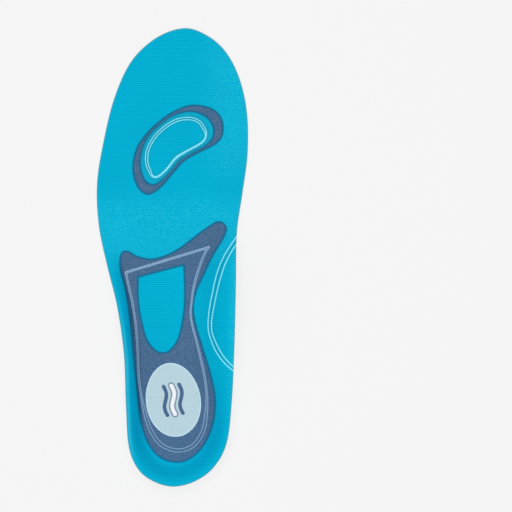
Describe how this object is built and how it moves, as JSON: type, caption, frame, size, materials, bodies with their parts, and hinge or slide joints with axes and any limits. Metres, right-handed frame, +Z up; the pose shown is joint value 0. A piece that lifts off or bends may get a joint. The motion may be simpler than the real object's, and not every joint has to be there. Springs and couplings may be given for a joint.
{
  "type": "insole",
  "caption": "Full-length cushioned shoe insole with a deep heel cup, raised arch, knitted top cover, gel pads and a stabiliser let into a foam base",
  "frame": {"origin": "centre of the footprint's bounding box, on the surface that the insole lies on", "axes": "+Y towards the toes, +X towards the arch (inner) side of the foot, +Z up"},
  "size_m": [0.0892, 0.27, 0.0195],
  "materials": {
    "knit_cover": "ribbed polyester knit, bright cyan with slate blue printed areas",
    "transfer_film": "thin pale grey-blue printed film",
    "comfort_foam": "soft open-cell polyurethane foam, pale grey",
    "base_foam": "moulded closed-cell foam, cool grey, fine skin",
    "post_foam": "denser closed-cell foam, dark slate",
    "stabiliser_tpu": "satin moulded thermoplastic polyurethane, slate blue",
    "gel": "soft clear-cyan gel with a slight gloss"
  },
  "bodies": {
    "root": {"top_cover": "knit_cover", "heel_emblem": "transfer_film", "comfort_foam": "comfort_foam", "foam_base": "base_foam", "arch_post": "post_foam", "stabiliser_plate": "stabiliser_tpu", "heel_gel_pad": "gel", "forefoot_gel_pad": "gel"}
  },
  "joints": []
}
